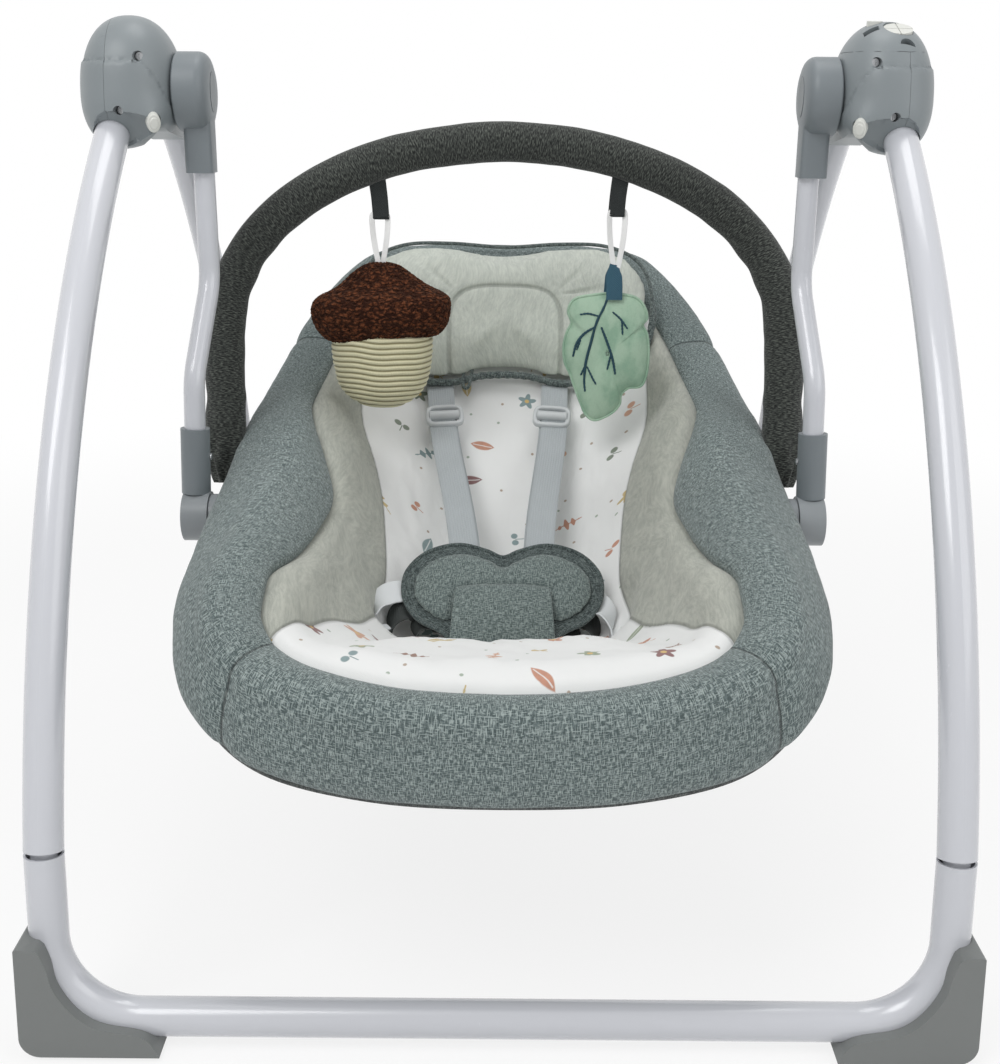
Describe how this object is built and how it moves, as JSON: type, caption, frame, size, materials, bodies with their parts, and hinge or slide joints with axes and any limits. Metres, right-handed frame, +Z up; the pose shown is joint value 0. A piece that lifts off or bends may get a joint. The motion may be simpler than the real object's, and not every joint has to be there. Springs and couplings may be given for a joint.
{
  "type": "baby swing",
  "caption": "Folding baby swing with bowed tube legs, domed pivot housings, a padded reclining seat with a harness, and a padded toy bar carrying plush toys.",
  "frame": {"origin": "centre of the footprint on the floor", "axes": "+X to the right as seen from the front, +Y to the back, +Z up"},
  "size_m": [0.624, 0.684, 0.6418],
  "materials": {
    "leg_enamel": "gloss",
    "cover_plastic": "fine matte",
    "hub_plastic": "satin",
    "arm_plastic": "satin",
    "barrel_plastic": "satin",
    "socket_plastic": "satin",
    "rubber_pad": "matte",
    "window_plastic": "gloss",
    "button_white": "satin",
    "steel": "bright",
    "melange": "melange weave",
    "charcoal": "melange weave",
    "plush_print": "printed cotton",
    "pillow_plush": "velour",
    "webbing": "woven webbing",
    "adjuster_plastic": "satin",
    "buckle_plastic": "satin",
    "teddy": "teddy fleece",
    "corduroy": "corduroy",
    "leaf_cotton": "cotton",
    "ribbon_white": "satin ribbon"
  },
  "bodies": {
    "front_frame": {"front_leg_left": "leg_enamel", "front_leg_right": "leg_enamel", "front_base_tube": "leg_enamel", "front_corner_cover_left": "cover_plastic", "front_corner_cover_right": "cover_plastic", "front_foot_pads": "rubber_pad", "hub_outer_shell_left": "hub_plastic", "hub_outer_shell_right": "hub_plastic", "hub_inner_shell_left": "hub_plastic", "hub_inner_shell_right": "hub_plastic", "control_panel": "hub_plastic", "indicator_windows": "window_plastic", "hub_screws": "steel"},
    "fold_button_l": {"fold_button_left": "button_white"},
    "fold_button_r": {"fold_button_right": "button_white"},
    "power_btn": {"power_button": "button_white"},
    "quad_fi": {"quad_button_front_inner": "button_white"},
    "quad_fo": {"quad_button_front_outer": "button_white"},
    "quad_ri": {"quad_button_rear_inner": "button_white"},
    "quad_ro": {"quad_button_rear_outer": "button_white"},
    "rear_frame": {"rear_socket_left": "socket_plastic", "rear_socket_right": "socket_plastic", "rear_leg_left": "leg_enamel", "rear_leg_right": "leg_enamel", "rear_base_tube": "leg_enamel", "rear_corner_cover_left": "cover_plastic", "rear_corner_cover_right": "cover_plastic", "rear_foot_pads": "rubber_pad"},
    "swing_arms": {"swing_pins": "steel", "arm_cap_left": "arm_plastic", "arm_cap_right": "arm_plastic", "arm_cap_inserts": "socket_plastic", "arm_tube_left": "leg_enamel", "arm_tube_right": "leg_enamel", "arm_sleeve_left": "arm_plastic", "arm_sleeve_right": "arm_plastic", "sleeve_screws": "steel"},
    "seat": {"seat_hinge_discs": "barrel_plastic", "seat_hoop": "steel", "seat_ring": "melange", "seat_sling": "charcoal", "seat_liner": "plush_print", "head_pillow": "pillow_plush", "shoulder_straps": "webbing", "waist_straps": "webbing", "crotch_strap": "webbing", "buckle": "buckle_plastic"},
    "heart_flap": {"heart_pad": "melange"},
    "adjuster_l": {"strap_adjuster_left": "adjuster_plastic"},
    "adjuster_r": {"strap_adjuster_right": "adjuster_plastic"},
    "toy_bar": {"toy_bar_tube": "steel", "toy_bar_cover": "charcoal", "toy_tabs": "charcoal"},
    "acorn_toy": {"acorn_toy_cap": "teddy", "acorn_toy_cup": "corduroy", "acorn_toy_ribbon": "ribbon_white"},
    "leaf_toy_body": {"leaf_toy": "leaf_cotton", "leaf_toy_ribbon": "ribbon_white"}
  },
  "joints": [
    {"name": "rear_frame_fold", "type": "hinge", "parent": "front_frame", "child": "rear_frame", "pos_m": [0, 0, 0.588], "axis": [-1, 0, 0], "range_deg": [0, 50]},
    {"name": "swing", "type": "hinge", "parent": "front_frame", "child": "swing_arms", "pos_m": [0, 0, 0.588], "axis": [1, 0, 0], "range_deg": [-18, 18]},
    {"name": "seat_recline", "type": "hinge", "parent": "swing_arms", "child": "seat", "pos_m": [0, -0.055, 0.276], "axis": [1, 0, 0], "range_deg": [-10, 10]},
    {"name": "toy_bar_tilt", "type": "hinge", "parent": "seat", "child": "toy_bar", "pos_m": [0, 0.014, 0.29], "axis": [-1, 0, 0], "range_deg": [0, 6]},
    {"name": "acorn_toy_swing", "type": "hinge", "parent": "toy_bar", "child": "acorn_toy", "pos_m": [-0.097, 0.09135, 0.4932], "axis": [1, 0, 0], "range_deg": [-12, 12]},
    {"name": "leaf_toy_swing", "type": "hinge", "parent": "toy_bar", "child": "leaf_toy_body", "pos_m": [0.097, 0.09135, 0.4932], "axis": [1, 0, 0], "range_deg": [-12, 12]},
    {"name": "heart_pad_lift", "type": "hinge", "parent": "seat", "child": "heart_flap", "pos_m": [0, -0.1085, 0.1935], "axis": [1, 0, 0], "range_deg": [0, 45]},
    {"name": "fold_button_left_press", "type": "slide", "parent": "front_frame", "child": "fold_button_l", "axis": [-0.452, 0.8839, 0.1205], "range_m": [0, 0.003], "stiffness_N_per_m": 120},
    {"name": "fold_button_right_press", "type": "slide", "parent": "front_frame", "child": "fold_button_r", "axis": [0.452, 0.8839, 0.1205], "range_m": [0, 0.003], "stiffness_N_per_m": 120},
    {"name": "power_button_press", "type": "slide", "parent": "front_frame", "child": "power_btn", "axis": [0, 0.1045, -0.9945], "range_m": [0, 0.0012], "stiffness_N_per_m": 120},
    {"name": "quad_front_inner_press", "type": "slide", "parent": "front_frame", "child": "quad_fi", "axis": [0, 0.3746, -0.9272], "range_m": [0, 0.0012], "stiffness_N_per_m": 120},
    {"name": "quad_front_outer_press", "type": "slide", "parent": "front_frame", "child": "quad_fo", "axis": [0, 0.3746, -0.9272], "range_m": [0, 0.0012], "stiffness_N_per_m": 120},
    {"name": "quad_rear_inner_press", "type": "slide", "parent": "front_frame", "child": "quad_ri", "axis": [0, 0.3746, -0.9272], "range_m": [0, 0.0012], "stiffness_N_per_m": 120},
    {"name": "quad_rear_outer_press", "type": "slide", "parent": "front_frame", "child": "quad_ro", "axis": [0, 0.3746, -0.9272], "range_m": [0, 0.0012], "stiffness_N_per_m": 120},
    {"name": "left_adjuster_slide", "type": "slide", "parent": "seat", "child": "adjuster_l", "axis": [0.0938, -0.8805, -0.4647], "range_m": [-0.012, 0.03]},
    {"name": "right_adjuster_slide", "type": "slide", "parent": "seat", "child": "adjuster_r", "axis": [-0.0938, -0.8805, -0.4647], "range_m": [-0.012, 0.03]}
  ]
}
